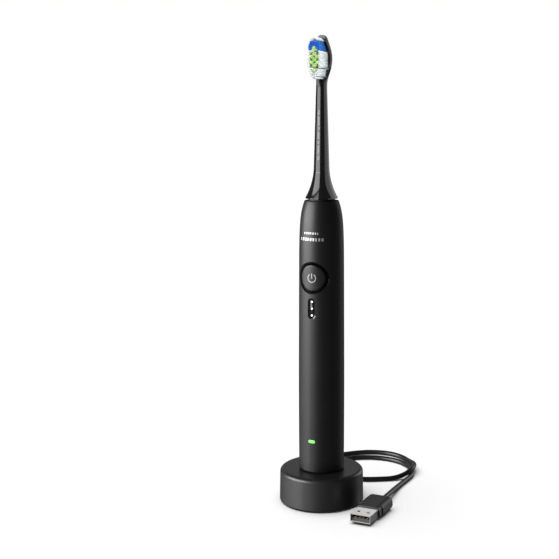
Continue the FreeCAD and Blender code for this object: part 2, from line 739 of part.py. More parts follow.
behind_board = box(-size(13), -board_back, chassis_bottom - 1, 26, 20, chassis_top - chassis_bottom + 2)
floor_disc = upright(0, 0, chassis_bottom, chassis_inner, 2)
drive_bottom = size(92)
wall_disc = upright(0, 0, drive_bottom - 2, chassis_inner, 2)
wall_front = box(-size(13), -size(5.2), chassis_bottom - 1, 26, 20, chassis_top - chassis_bottom)
walls = common(fuse(floor_disc, wall_disc), wall_front)
screw_pilots = [upright(x, 6.2, drive_bottom - 2, 0.7, 2) for x in (-4.6, 4.6)]
keep(cut(fuse(common(trough, behind_board), walls), *screw_pilots), "chassis")

# ---------------------------------------------------------------- drive: frame, bearings, stator and coil
front_plate_low = size(158)
front_plate_high = size(163)
rear_plate_low = hub_bottom + 6
rear_plate_high = hub_bottom + 10


def d_plate(low, high):
    """A round plate with a flat at the front that clears the board."""
    disc = upright(0, 0, low, frame_radius, size(high) - size(low))
    return common(disc, box(-size(12), -frame_front, low, 24, 20, size(high) - size(low)))


rails = [box(x, -3, drive_bottom, 1.2, 6, front_plate_high - drive_bottom) for x in (-9.1, 7.9)]
frame = fuse(d_plate(drive_bottom, drive_bottom + 3), d_plate(rear_plate_low, rear_plate_high),
             d_plate(front_plate_low, front_plate_high), *rails)
frame = cut(frame, upright(0, 0, rear_plate_low, bearing_radius, 4),
            upright(0, 0, front_plate_low, bearing_radius, 5),
            *[upright(x, 6.2, drive_bottom, 0.9, 3) for x in (-4.6, 4.6)])
keep(frame, "drive_frame")
keep(tube(0, 0, rear_plate_low, bearing_radius, bearing_bore, 4), "rear_bearing")
keep(tube(0, 0, front_plate_low, bearing_radius, bearing_bore, 5), "front_bearing")
drive_screws = []
for x in (-4.6, 4.6):
    shank = upright(x, 6.2, drive_bottom - 2, 0.7, 5)
    drive_screws.append(fuse(shank, upright(x, 6.2, drive_bottom + 3, 1.5, 1.1)))
keep(group(*drive_screws), "frame_screws")

stator_low = drive_bottom + 3
leg_top = hub_bottom - 2.5 - air_gap
leg_height = leg_top - (stator_low + 3.5)
stator = fuse(centred_box(0, 0, stator_low, core_width, core_depth, 3.5),
              centred_box(0, 0, stator_low + 3.5, 3.2, core_depth, leg_height),
              centred_box(-6.6, 0, stator_low + 3.5, 1.6, core_depth, leg_height),
              centred_box(6.6, 0, stator_low + 3.5, 1.6, core_depth, leg_height))
keep(stator, "stator_core")
spool_bottom = stator_low + 3.6
spool_height = leg_height - 0.6
spool_top = spool_bottom + spool_height
spool = fuse(centred_box(0, 0, spool_bottom, 4.4, 6.8, spool_height),
             centred_box(0, 0, spool_bottom, 10.6, 10.0, 0.7),
             centred_box(0, 0, spool_top - 0.7, 10.6, 10.0, 0.7))
keep(cut(spool, centred_box(0, 0, spool_bottom, 3.3, 5.7, spool_height)), "coil_bobbin")
winding = centred_box(0, 0, spool_bottom + 0.7, 10.0, 9.6, spool_height - 1.4)
round_winding = rounded(winding, 1.6, lambda e: e.Length > 9.9 and abs(e.tangentAt(e.FirstParameter).z) > 0.9)
keep(cut(round_winding, centred_box(0, 0, spool_bottom + 0.7, 4.4, 6.8, spool_height - 1.4)),
     "drive_coil")

# ---------------------------------------------------------------- drive: shaft, rotor and spring
shaft = upright(0, 0, hub_bottom, shaft_radius, shaft_top - hub_bottom)
flat = box(-3, -size(3), shaft_top - 15, 6, 1.6, 15)
keep(cut(shaft, flat), "drive_shaft")
hub = fuse(centred_box(0, 0, hub_bottom, 14, 6, 4), upright(0, 0, hub_bottom + 4, 3.4, 1.4))
keep(cut(hub, upright(0, 0, hub_bottom, shaft_radius, 6)), "rotor_hub")
magnets = [centred_box(x, 0, hub_bottom - 2.5, 6, 5.6, 2.5) for x in (-3.8, 3.8)]
keep(group(*magnets), "rotor_magnets")
collar_low = size(152.6)
keep(tube(0, 0, collar_low, 4.4, shaft_radius, 3.4), "spring_collar")
spring_low = rear_plate_high + spring_wire + 0.02
spring_rise = collar_low - 0.02 - spring_wire - spring_low
turns = 6
helix = Part.makeHelix(spring_rise.number / turns, spring_rise.number, spring_radius.number)
helix.Placement = FreeCAD.Placement(Vector(0, 0, spring_low.number), FreeCAD.Rotation())
start = helix.Edges[0].valueAt(helix.Edges[0].FirstParameter)
wire_way = helix.Edges[0].tangentAt(helix.Edges[0].FirstParameter)
wire_round = Part.Wire([Part.Circle(start, wire_way, spring_wire.number).toShape()])
spring = doc.addObject("Part::Feature", "helix")
spring.Shape = Part.Wire(helix.Edges).makePipeShell([wire_round], True, True)
keep(spring, "torsion_spring")

# ---------------------------------------------------------------- handle: seal round the shaft
seal_shelf = handle_top - 3.2
keep(turned([(shaft_radius + 0.08, handle_top - 4.6), (8.7, handle_top - 4.6), (8.7, seal_shelf - 0.05),
             (nose_radius - 0.05, seal_shelf - 0.05), (nose_radius - 0.05, handle_top + 0.9),
             (6.7, handle_top + 1.7), (3.4, handle_top + 2.9), (shaft_radius + 0.08, handle_top + 2.9)]),
     "shaft_seal")
keep(turned([(3.2, handle_top - 6.6), (8.6, handle_top - 6.6), (8.6, handle_top - 4.65),
             (3.2, handle_top - 4.65)]), "seal_clamp")

# ---------------------------------------------------------------- brush head
body = new_body()
neck = Outline(body, "XZ_Plane", "section").start(head_base_radius - 1.1, head_bottom)
neck.line(head_base_radius, head_bottom)
neck.line(head_base_radius - 0.1, head_bottom + 0.4)
neck.arc(neck_waist, head_bottom + 16, 1, 38)
neck.line(neck_top_radius, neck_top)
neck.line(0, neck_top)
neck.line(0, head_bottom + 22.6)
neck.line(coupling_radius, head_bottom + 22.6)
neck.line(coupling_radius, head_bottom + 6.6)
neck.line(4.4, head_bottom + 6.6)
neck.line(4.4, head_bottom + 5.4)
neck.line(head_base_radius - 2.5, head_bottom + 2.6)
revolve(body, neck.close())
# (height above the neck's top, half width, half depth, how far back the middle lies)
HEAD_SECTIONS = [(0.0, 3.1, 3.1, 0.0), (2.0, 3.12, 3.08, 0.08), (4.0, 3.27, 3.1, 0.3),
                 (8.5, 4.52, 3.1, 0.9), (12.8, 5.55, 3.1, 1.3), (16.0, 5.69, 3.1, 1.5),
                 (19.3, 5.34, 3.1, 1.5), (23.6, 4.1, 2.8, 1.3), (25.8, 3.45, 2.5, 1.0),
                 (27.6, 2.7, 1.9, 0.7), (28.5, 1.7, 1.2, 0.45), (28.8, 0.9, 0.6, 0.3)]
ovals = []
for above, wide, deep, back in HEAD_SECTIONS:
    oval = doc.addObject("Part::Ellipse", "oval")
    bind(oval, MajorRadius=wide, MinorRadius=deep)
    ovals.append(put(oval, 0, back, neck_top + above))
loft = doc.addObject("Part::Loft", "head_loft")
loft.Sections = ovals
loft.Solid = True
face_cut = box(-size(10), -(size(10) + pad_front), neck_top + 5.4, 20, 10, 40)
back_cut = box(-size(10), 3.2, neck_top + 3.2, 20, 10, 40)
# The face runs down to the neck's front as a slope.
slope_angle = 60
slope = math.radians(slope_angle)
slope_cut = put(box(0, 0, 0, 20, 10, 10), -size(10), -(pad_front + 10 * math.cos(slope)),
                neck_top + 5.4 - 10 * math.sin(slope), FreeCAD.Rotation(Vector(1, 0, 0), slope_angle))
head_blank = cut(fuse(body, loft), face_cut, back_cut, slope_cut)


def round_tuft(x, above, radius):
    return forward(x, -tuft_tip, neck_top + above, radius, tuft_tip + tuft_root)


def shaped_tuft(corners):
    """A tuft that fills a moulded hole of that outline; corners are (x, height above the neck)."""
    holder = new_body()
    (x, above), *others = corners
    sketch = Outline(holder, "XZ_Plane", "hole").start(x, neck_top + above)
    for x, above in others:
        sketch.line(x, neck_top + above)
    pad = holder.newObject("PartDesign::Pad", "tuft")
    pad.Profile = sketch.close()
    bind(pad, Length=tuft_tip + tuft_root)
    return put(holder, 0, tuft_root, 0)


def mirrored(corners):
    return [(-x, above) for x, above in reversed(corners)]


WHITE_BLOCK = [(2.85, 10.8), (3.9, 11.4), (3.9, 19.0), (2.85, 19.8)]
WHITE_LOW = [(0.3, 6.4), (2.5, 6.4), (3.2, 10.1), (2.0, 10.1), (0.3, 7.4)]
BLUE_LOBE = [(0.08, 23.1), (2.2, 20.4), (3.4, 20.4), (3.3, 22.4), (2.4, 25.0), (1.2, 25.2), (0.08, 23.9)]
GREEN_ROUNDS = [(0, 12.1), (0, 15.15), (0, 18.2), (-1.75, 13.6), (1.75, 13.6), (-1.75, 16.7), (1.75, 16.7)]
WHITE_ROUNDS = [(-0.62, 26.7), (0.62, 26.7), (-1.85, 26.0), (1.85, 26.0), (-0.9, 5.3), (0.9, 5.3)]
white = [round_tuft(x, above, 0.58) for x, above in WHITE_ROUNDS]
for corners in (WHITE_BLOCK, WHITE_LOW):
    white += [shaped_tuft(corners), shaped_tuft(mirrored(corners))]
blue = [shaped_tuft(BLUE_LOBE), shaped_tuft(mirrored(BLUE_LOBE))]
green = [round_tuft(x, above, 0.84) for x, above in GREEN_ROUNDS]
green += [shaped_tuft([(-1.75, 20.2), (1.75, 20.2), (0, 22.7)]),
          shaped_tuft([(0, 8.0), (1.4, 10.2), (-1.4, 10.2)])]
anchors = [centred_box(x, tuft_root + 0.3, neck_top + above - 0.45, 0.9, 0.6, 0.9)
           for x, above in WHITE_ROUNDS[4:] + GREEN_ROUNDS]
filled = doc.addObject("Part::MultiFuse", "holes")
filled.Shapes = white + blue + green + anchors
keep(cut(head_blank, filled), "brush_neck")
keep(group(*white), "bristles_white")
keep(group(*blue), "bristles_blue")
keep(group(*green), "bristles_green")
keep(group(*anchors), "tuft_anchors")

# ---------------------------------------------------------------- brush head: coupling, clip and tag
coupling_low = head_bottom + 6.8
coupling_bore = shaft_radius + 0.06
clip_low = coupling_low + 3
sleeve = tube(0, 0, coupling_low, coupling_radius - 0.02, coupling_bore, 15.4)
flat_rib = box(-size(2), -size(2.5), head_bottom + 8.4, 4, size(2.5) - 1.46, 13.8)
key = common(flat_rib, upright(0, 0, coupling_low, coupling_radius - 0.02, 15.4))
clip_groove = tube(0, 0, clip_low, coupling_radius + 1, 2.5, 1.6)
keep(cut(fuse(sleeve, key), clip_groove), "shaft_coupling")
clip_gap = box(-size(0.8), 0, clip_low, 1.6, 4, 1.6)
keep(cut(tube(0, 0, clip_low, coupling_radius - 0.05, 2.5, 1.6), clip_gap), "coupling_clip")
keep(tube(0, 0, head_bottom + 5.7, 4.2, 3.1, 0.8), "tag_ring")

# ---------------------------------------------------------------- checks and STEP files
doc.recompute()
for obj in doc.Objects:
    if "Invalid" in obj.State or "Error" in obj.State:
        raise RuntimeError(f"{obj.Name} {obj.Label}: {obj.State}")
os.makedirs("parts", exist_ok=True)
for obj in sub_parts:
    if obj.Shape.isNull() or not obj.Shape.isValid() or obj.Shape.Volume <= 0:
        raise RuntimeError(f"{obj.Label} has no sound shape")
    obj.Shape.exportStep(f"parts/{obj.Label}.step")
    bounds = obj.Shape.optimalBoundingBox()
    print(f"{obj.Label:20s} {obj.Shape.Volume:9.1f} mm3 {len(obj.Shape.Solids):3d} solids",
          f"x {bounds.XMin:6.1f} {bounds.XMax:6.1f}  y {bounds.YMin:6.1f} {bounds.YMax:6.1f}",
          f"z {bounds.ZMin:6.1f} {bounds.ZMax:6.1f}")
print(len(sub_parts), "nodes")
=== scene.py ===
"""The look of a sonic toothbrush on its round USB charger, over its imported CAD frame.

Metres, +Z up, front -Y. Sizes in the sections below are in millimetres, times MM.
"""

import json
import math
import random

import bmesh
import bpy
from mathutils import Matrix, Vector

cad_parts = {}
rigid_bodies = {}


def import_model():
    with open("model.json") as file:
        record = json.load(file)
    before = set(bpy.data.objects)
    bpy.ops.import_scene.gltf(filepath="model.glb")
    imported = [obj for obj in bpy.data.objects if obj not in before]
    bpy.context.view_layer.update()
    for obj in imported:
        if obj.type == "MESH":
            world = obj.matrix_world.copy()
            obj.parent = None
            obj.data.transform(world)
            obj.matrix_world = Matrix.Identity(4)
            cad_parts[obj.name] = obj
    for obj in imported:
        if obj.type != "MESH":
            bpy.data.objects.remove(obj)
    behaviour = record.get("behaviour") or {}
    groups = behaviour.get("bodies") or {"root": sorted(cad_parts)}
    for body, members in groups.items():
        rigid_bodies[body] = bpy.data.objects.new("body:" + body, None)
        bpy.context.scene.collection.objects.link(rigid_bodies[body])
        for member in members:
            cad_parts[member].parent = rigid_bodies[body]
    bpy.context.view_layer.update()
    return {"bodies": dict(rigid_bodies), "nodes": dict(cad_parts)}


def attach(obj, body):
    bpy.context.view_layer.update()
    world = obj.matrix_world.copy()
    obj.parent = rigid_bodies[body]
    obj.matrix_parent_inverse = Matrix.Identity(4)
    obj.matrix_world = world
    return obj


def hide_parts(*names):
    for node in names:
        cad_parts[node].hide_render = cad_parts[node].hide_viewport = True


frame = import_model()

nodes = frame["nodes"]
MM = 0.001

# ---------------------------------------------------------------- camera, floor and studio light
# A short telephoto stands level with the brush head and looks down a little, 26 degrees round to the
# right of the front. The shift only moves the brush to the right of the middle of the picture.
view_angle = math.radians(26.0)
camera = bpy.data.objects.new("camera", bpy.data.cameras.new("camera"))
bpy.context.scene.collection.objects.link(camera)
camera.location = (0.6276 * math.sin(view_angle), -0.6276 * math.cos(view_angle), 0.2338)
camera.rotation_euler = (math.radians(90 - 9.34), 0, view_angle)
camera.data.lens = 71.94
camera.data.sensor_width = 36
camera.data.shift_x = -0.0753
bpy.context.scene.camera = camera

# A plain white sheet on the table, wide enough to meet the white background at the horizon. Only the camera
# sees it white; in reflections it is a grey table, as black flags round a small studio set make it.
sheet = bpy.data.meshes.new("sheet")
sheet.from_pydata([(-40, -40, 0), (40, -40, 0), (40, 40, 0), (-40, 40, 0)], [], [(0, 1, 2, 3)])
floor = bpy.data.objects.new("sheet", sheet)
bpy.context.scene.collection.objects.link(floor)
paper = bpy.data.materials.new("white_paper")
paper.use_nodes = True
tree = paper.node_tree
white = tree.nodes["Principled BSDF"]
white.inputs["Roughness"].default_value = 0.95
white.inputs["Specular IOR Level"].default_value = 0.0
grain = tree.nodes.new("ShaderNodeTexNoise")
grain.inputs["Scale"].default_value = 900.0
tone = tree.nodes.new("ShaderNodeValToRGB")
tone.color_ramp.elements[0].color = (0.80, 0.80, 0.80, 1)
tone.color_ramp.elements[1].color = (0.82, 0.82, 0.82, 1)
tree.links.new(grain.outputs["Fac"], tone.inputs["Fac"])
tree.links.new(tone.outputs["Color"], white.inputs["Base Color"])
flagged = tree.nodes.new("ShaderNodeBsdfDiffuse")
flagged.inputs["Color"].default_value = (0.10, 0.10, 0.10, 1)
seen_by = tree.nodes.new("ShaderNodeLightPath")
either = tree.nodes.new("ShaderNodeMixShader")
tree.links.new(seen_by.outputs["Is Camera Ray"], either.inputs["Fac"])
tree.links.new(flagged.outputs["BSDF"], either.inputs[1])
tree.links.new(white.outputs["BSDF"], either.inputs[2])
tree.links.new(either.outputs["Shader"], tree.nodes["Material Output"].inputs["Surface"])
sheet.materials.append(paper)

world = bpy.data.worlds.new("studio")
bpy.context.scene.world = world
world.use_nodes = True
tree = world.node_tree
tree.nodes["Background"].inputs["Color"].default_value = (1, 1, 1, 1)
seen_by = tree.nodes.new("ShaderNodeLightPath")
brightness = tree.nodes.new("ShaderNodeMapRange")
brightness.inputs["To Min"].default_value = 0.10
brightness.inputs["To Max"].default_value = 1.02
tree.links.new(seen_by.outputs["Is Camera Ray"], brightness.inputs["Value"])
tree.links.new(brightness.outputs["Result"], tree.nodes["Background"].inputs["Strength"])
bpy.context.scene.view_settings.view_transform = "Standard"

# A wide overhead light, a little from the left, lights the sheet evenly and gives the soft contact shadows.
ceiling = bpy.data.objects.new("ceiling", bpy.data.lights.new("ceiling", "SUN"))
ceiling.data.energy = 3.9
ceiling.data.angle = math.radians(75)
ceiling.rotation_euler = (0, math.radians(-14), view_angle)
bpy.context.scene.collection.objects.link(ceiling)


def panel(lights, start, end, radiance, up=0.35, high=1.5, distance=1.2):
    """An upright soft panel that covers the directions from start to end, in degrees from the camera and
    positive to its right, seen from the brush. It is flagged off from everything but one group of pieces."""
    light = bpy.data.lights.new(lights + "_panel", "AREA")
    light.shape = "RECTANGLE"
    light.size = 2 * distance * math.tan(math.radians(end - start) / 2)
    light.size_y = high
    light.energy = radiance * math.pi * light.size * high
    stand = bpy.data.objects.new(lights + "_panel", light)
    bpy.context.scene.collection.objects.link(stand)
    round_to = view_angle + math.radians((start + end) / 2)
    stand.location = (distance * math.sin(round_to), -distance * math.cos(round_to), up)
    stand.rotation_euler = (Vector((0, 0, up)) - stand.location).to_track_quat("-Z", "Y").to_euler()
    return lights, stand


flagged_lights = [
    panel("handle", -108, -48, 7.0, up=0.1), panel("handle", 118, 146, 0.5, up=0.1),
    panel("head", -90, -26, 4.4), panel("head", -80, -30, 2.6, up=1.5, high=1.0, distance=0.9),
    panel("head", 48, 150, 1.0),
    panel("charger", -104, -40, 10.0, up=0.1), panel("charger", 118, 146, 1.6, up=0.1),
    panel("charger", 165, 215, 0.35, up=0.45, high=0.5),
    panel("filaments", 5, 95, 3.6), panel("filaments", -90, -20, 4.2), panel("plug", -90, -20, 3.0),
    ("sheet", ceiling), ("filaments", ceiling), ("plug", ceiling),
]


# ---------------------------------------------------------------- materials shared by several pieces
# Injection-moulded plastics: a fine spark-eroded grain, and slow drifts in colour and gloss from flow in the
# mould. One node group holds both, and each material places it with its own values.
grain_group = bpy.data.node_groups.new("moulded_grain", "ShaderNodeTree")
for way, sockets in (("INPUT", (("Dark Color", "Color"), ("Light Color", "Color"),
                                ("Low Roughness", "Float"), ("High Roughness", "Float"),
                                ("Grain Scale", "Float"))),
                     ("OUTPUT", (("Color", "Color"), ("Roughness", "Float"), ("Height", "Float")))):
    for socket, kind in sockets:
        grain_group.interface.new_socket(name=socket, in_out=way, socket_type="NodeSocket" + kind)
given = grain_group.nodes.new("NodeGroupInput")
result = grain_group.nodes.new("NodeGroupOutput")
place = grain_group.nodes.new("ShaderNodeTexCoord")
slow = grain_group.nodes.new("ShaderNodeTexNoise")
slow.inputs["Scale"].default_value = 60
slow.inputs["Detail"].default_value = 3
flow = grain_group.nodes.new("ShaderNodeMapRange")
flow.inputs["From Min"].default_value = 0.3
flow.inputs["From Max"].default_value = 0.7
tone = grain_group.nodes.new("ShaderNodeMix")
tone.data_type = "RGBA"
tone_factor, tone_dark, tone_light = (tone.inputs[k] for k in (0, 6, 7))
tone_result = tone.outputs[2]
gloss = grain_group.nodes.new("ShaderNodeMapRange")
fine = grain_group.nodes.new("ShaderNodeTexNoise")
fine.inputs["Detail"].default_value = 2
for start, end in ((place.outputs["Object"], slow.inputs["Vector"]),
                   (slow.outputs["Fac"], flow.inputs["Value"]),
                   (flow.outputs["Result"], tone_factor), (given.outputs["Dark Color"], tone_dark),
                   (given.outputs["Light Color"], tone_light), (tone_result, result.inputs["Color"]),
                   (slow.outputs["Fac"], gloss.inputs["Value"]),
                   (given.outputs["Low Roughness"], gloss.inputs["To Min"]),
                   (given.outputs["High Roughness"], gloss.inputs["To Max"]),
                   (gloss.outputs["Result"], result.inputs["Roughness"]),
                   (place.outputs["Object"], fine.inputs["Vector"]),
                   (given.outputs["Grain Scale"], fine.inputs["Scale"]),
                   (fine.outputs["Fac"], result.inputs["Height"])):
    grain_group.links.new(start, end)


def moulded(name, colour, roughness, grain_mm=0.25, depth=0.02, drift=0.12, metallic=0.0, coat=0.0):
    """The grain's pitch and depth, in millimetres, tell satin, matte and polished faces apart."""
    material = bpy.data.materials.new(name)
    material.use_nodes = True
    tree = material.node_tree
    shader = tree.nodes["Principled BSDF"]
    shader.inputs["Metallic"].default_value = metallic
    if coat:
        shader.inputs["Coat Weight"].default_value = coat
        shader.inputs["Coat Roughness"].default_value = 0.05
    grain = tree.nodes.new("ShaderNodeGroup")
    grain.name = "Grain"
    grain.node_tree = grain_group
    grain.inputs["Dark Color"].default_value = [c * (1 - drift) for c in colour] + [1]
    grain.inputs["Light Color"].default_value = [min(1, c * (1 + drift)) for c in colour] + [1]
    grain.inputs["Low Roughness"].default_value = roughness * 0.93
    grain.inputs["High Roughness"].default_value = min(1, roughness * 1.07)
    grain.inputs["Grain Scale"].default_value = 1000 / grain_mm
    tree.links.new(grain.outputs["Color"], shader.inputs["Base Color"])
    tree.links.new(grain.outputs["Roughness"], shader.inputs["Roughness"])
    bump = tree.nodes.new("ShaderNodeBump")
    bump.inputs["Strength"].default_value = 0.35
    bump.inputs["Distance"].default_value = depth * MM
    tree.links.new(grain.outputs["Height"], bump.inputs["Height"])
    tree.links.new(bump.outputs["Normal"], shader.inputs["Normal"])
    return material


satin_black = moulded("satin_black", (0.0065, 0.0065, 0.0072), 0.40, 0.18, 0.012)
gloss_black = moulded("gloss_black", (0.004, 0.004, 0.0042), 0.13, 1.5, 0.002, coat=0.4)
matte_white = moulded("matte_white", (0.78, 0.78, 0.75), 0.55, 0.4, 0.02, 0.04)
rubber_black = moulded("rubber_black", (0.012, 0.012, 0.012), 0.62, 0.3, 0.03)


def paint(name, material):
    """Gives a CAD node its finish; its shape stays as it is."""
    mesh = nodes[name].data
    mesh.materials.clear()
    mesh.materials.append(material)


def new_piece(name, points, faces, material, body, replaced=()):
    """A mesh in millimetres that rides on a body and stands for the CAD nodes it replaces."""
    mesh = bpy.data.meshes.new(name)
    mesh.from_pydata([tuple(c * MM for c in p) for p in points], [], faces)
    mesh.update()
    for polygon in mesh.polygons:
        polygon.use_smooth = True
    mesh.materials.append(material)
    piece = bpy.data.objects.new(name, mesh)
    bpy.context.scene.collection.objects.link(piece)
    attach(piece, body)
    if replaced:
        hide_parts(*replaced)
    return piece


def lathe(rows, segments):
    """Points and faces of a closed line of (radius, height) rows turned round Z."""
    points = []
    for radius, up in rows:
        for k in range(segments):
            a = 2 * math.pi * k / segments
            points.append((radius * math.cos(a), radius * math.sin(a), up))
    faces = []
    for i in range(len(rows)):
        j = (i + 1) % len(rows)
        for k in range(segments):
            n = (k + 1) % segments
            faces.append((i * segments + k, i * segments + n, j * segments + n, j * segments + k))
    return points, faces


# ---------------------------------------------------------------- handle: satin black housing
# One long injection-moulded sleeve of ABS with a fine satin texture. It swells very slightly towards the
# foot, draws in at the shoulder, and has openings for the button, the mode window and the battery light.
HANDLE_LINE = [(20.6, 13.05), (45, 13.15), (76, 13.15), (104, 13.0), (132, 12.85), (150, 12.7), (159, 12.42),
               (164.5, 12.06), (168.5, 11.55), (171.5, 10.95), (174, 10.25), (175.5, 9.72)]


def handle_radius(up):
    """A smooth line through the handle's stations."""
    stations = HANDLE_LINE
    i = max(0, min(len(stations) - 2, sum(1 for z, _ in stations if z <= up) - 1))
    z0, r0 = stations[i]
    z1, r1 = stations[i + 1]
    before = stations[max(i - 1, 0)]
    after = stations[min(i + 2, len(stations) - 1)]
    t = (up - z0) / (z1 - z0)
    m0 = (r1 - before[1]) / (z1 - before[0]) * (z1 - z0)
    m1 = (after[1] - r0) / (after[0] - z0) * (z1 - z0)
    return ((2 * t**3 - 3 * t**2 + 1) * r0 + (t**3 - 2 * t**2 + t) * m0
            + (-2 * t**3 + 3 * t**2) * r1 + (t**3 - t**2) * m1)


rows = [(11.3, 19.8), (12.25, 19.8)]
rows += [(12.25 + 0.8 * math.sin(math.radians(a)), 20.6 - 0.8 * math.cos(math.radians(a)))
         for a in range(15, 90, 15)]
up = 20.6
while up < 175.4:
    rows.append((handle_radius(up), up))
    up += 1.0 if up < 160 else 0.5
rows += [(9.72, 175.5), (9.6, 175.72), (9.35, 175.8), (7.5, 175.8), (7.5, 172.6), (8.8, 172.6), (8.8, 169.0),
         (11.3, 158.0)]
points, faces = lathe(rows, 256)
housing = new_piece("handle_sleeve", points, faces, satin_black, "handle", ["handle_housing"])


def prism(outline, front, back):
    """A closed bar along Y over an outline of (x, z) points, for cutting openings."""
    n = len(outline)
    points = [(x, -front, z) for x, z in outline] + [(x, -back, z) for x, z in outline]
    faces = [tuple(range(n)), tuple(reversed(range(n, 2 * n)))]
    faces += [(i, i + n, (i + 1) % n + n, (i + 1) % n) for i in range(n)]
    mesh = bpy.data.meshes.new("cutter")
    mesh.from_pydata([tuple(c * MM for c in p) for p in points], [], faces)
    work = bmesh.new()
    work.from_mesh(mesh)
    bmesh.ops.recalc_face_normals(work, faces=work.faces)
    work.to_mesh(mesh)
    work.free()
    cutter = bpy.data.objects.new("cutter", mesh)
    bpy.context.scene.collection.objects.link(cutter)
    return cutter


def pill(half_wide, half_high, middle, steps=24):
    """Points round a slot standing on end, or lying if it is wider than it is high."""
    r = min(half_wide, half_high)
    outline = []
    for k in range(2 * steps):
        a = math.pi * (k + 0.5) / steps
        x, z = r * math.cos(a), r * math.sin(a)
        outline.append((x + math.copysign(half_wide - r, x), middle + z + math.copysign(half_high - r, z)))
    return outline


def cut_openings(piece, cutters):
    """Cuts each bar out of the piece, bakes the result into its mesh and removes the bars."""
    for cutter in cutters:
        modifier = piece.modifiers.new("opening", "BOOLEAN")
        modifier.operation = "DIFFERENCE"
        modifier.solver = "EXACT"
        modifier.object = cutter
    bpy.context.view_layer.update()
    graph = bpy.context.evaluated_depsgraph_get()
    mesh = bpy.data.meshes.new_from_object(piece.evaluated_get(graph))
    piece.modifiers.clear()
    piece.data = mesh
    for cutter in cutters:
        bpy.data.objects.remove(cutter)


def normals_of_turning(piece, radius_at, low, high):
    """Skin faces shade as the true turned surface, so highlights run clean past the cut edges."""
    mesh = piece.data
    loops = [Vector((0, 0, 0))] * len(mesh.loops)
    for polygon in mesh.polygons:
        middle = polygon.center / MM
        here = math.hypot(middle.x, middle.y)
        on_skin = low < middle.z < high and abs(here - radius_at(middle.z)) < 0.12
        for k in polygon.loop_indices:
            loops[k] = polygon.normal.copy()
            if on_skin:
                p = mesh.vertices[mesh.loops[k].vertex_index].co / MM
                z = min(max(p.z, low + 0.05), high - 0.05)
                slope = (radius_at(z + 0.05) - radius_at(z - 0.05)) / 0.1
                turned = Vector((p.x, p.y, 0)).normalized() - Vector((0, 0, slope))
                if turned.normalized().dot(polygon.normal) > 0.9:
                    loops[k] = turned.normalized()
    mesh.normals_split_custom_set([tuple(n) for n in loops])


BUTTON_UP, WINDOW_UP, BATTERY_UP = 133.2, 115.8, 38.4  # heights of the three openings' middles
cut_openings(housing, [prism(pill(9.2, 9.2, BUTTON_UP, 48), 20, 2), prism(pill(2.5, 6.1, WINDOW_UP), 20, 2),
                       prism(pill(2.1, 0.95, BATTERY_UP, 12), 20, 2)])
normals_of_turning(housing, handle_radius, 20.7, 175.3)

# ---------------------------------------------------------------- handle: button, its ring and its symbol
# The ring is a polished black bezel that falls from the skin to the button's edge. The button is a satin
# disc, gently domed, with the usual standby symbol printed in light grey.
def on_skin(x, z, sunk):
    """The point straight in front of (x, z) that lies that far under the handle's skin."""
    radius = handle_radius(z) - sunk
    return (x, -math.sqrt(max(radius * radius - x * x, 0)), z)


def bands(rows, around, first=0):
    """Faces between rows of points, each row closed on itself, from the point numbered first."""
    return [(first + i * around + k, first + i * around + (k + 1) % around,
             first + (i + 1) * around + (k + 1) % around, first + (i + 1) * around + k)
            for i in range(rows - 1) for k in range(around)]


def bezel(outline_at, stations, steps, name, material, replaced):
    """Rings of points: each station is (the outline's offset or radius, depth under the skin)."""
    points = [on_skin(x, z, sunk) for offset, sunk in stations for x, z in outline_at(offset, steps)]
    return new_piece(name, points, bands(len(stations), steps), material, "handle", replaced)


def circle_at(radius, steps):
    """Points round the button's middle."""
    turns = [2 * math.pi * k / steps for k in range(steps)]
    return [(radius * math.cos(a), BUTTON_UP + radius * math.sin(a)) for a in turns]


bezel(circle_at, [(9.2, 3.0), (9.2, 0.16), (9.12, 0.18), (9.06, 0.24), (8.2, 1.1), (7.85, 1.4), (7.74, 1.5),
                  (7.72, 1.8), (7.72, 3.2)],
      160, "button_bezel", gloss_black, ["button_ring"])

button_satin = moulded("button_satin", (0.011, 0.011, 0.012), 0.38, 0.16, 0.010)
AROUND = 160  # points round the disc
DISC = [(7.4, 0.55), (7.36, 0.38), (7.25, 0.24), (7.08, 0.15), (6.8, 0.1)]
DISC += [(r, 0.08 - 0.02 * (1 - r / 6.6)) for r in (6.6, 6.0, 5.2, 4.4, 3.6, 2.8, 2.0, 1.2, 0.5)]
points = [on_skin(x, z, sunk) for radius, sunk in DISC for x, z in circle_at(radius, AROUND)]
faces = bands(len(DISC), AROUND)
faces.append(tuple((len(DISC) - 1) * AROUND + k for k in range(AROUND)))
# The flat back stays clear of the gasket and the board when the button is pressed.
back_row = len(points)
points += [(x, -9.4, z) for x, z in circle_at(7.4, AROUND)]
faces += [(back_row + k, back_row + (k + 1) % AROUND, (k + 1) % AROUND, k) for k in range(AROUND)]
faces.append(tuple(back_row + k for k in reversed(range(AROUND))))
new_piece("button_cap", points, faces, button_satin, "button", ["power_button"])

print_grey = moulded("print_grey", (0.42, 0.42, 0.43), 0.45, 0.1, 0.004, 0.05)
silver_ink = moulded("silver_ink", (0.60, 0.60, 0.62), 0.46, 0.1, 0.004, 0.05, metallic=0.85)


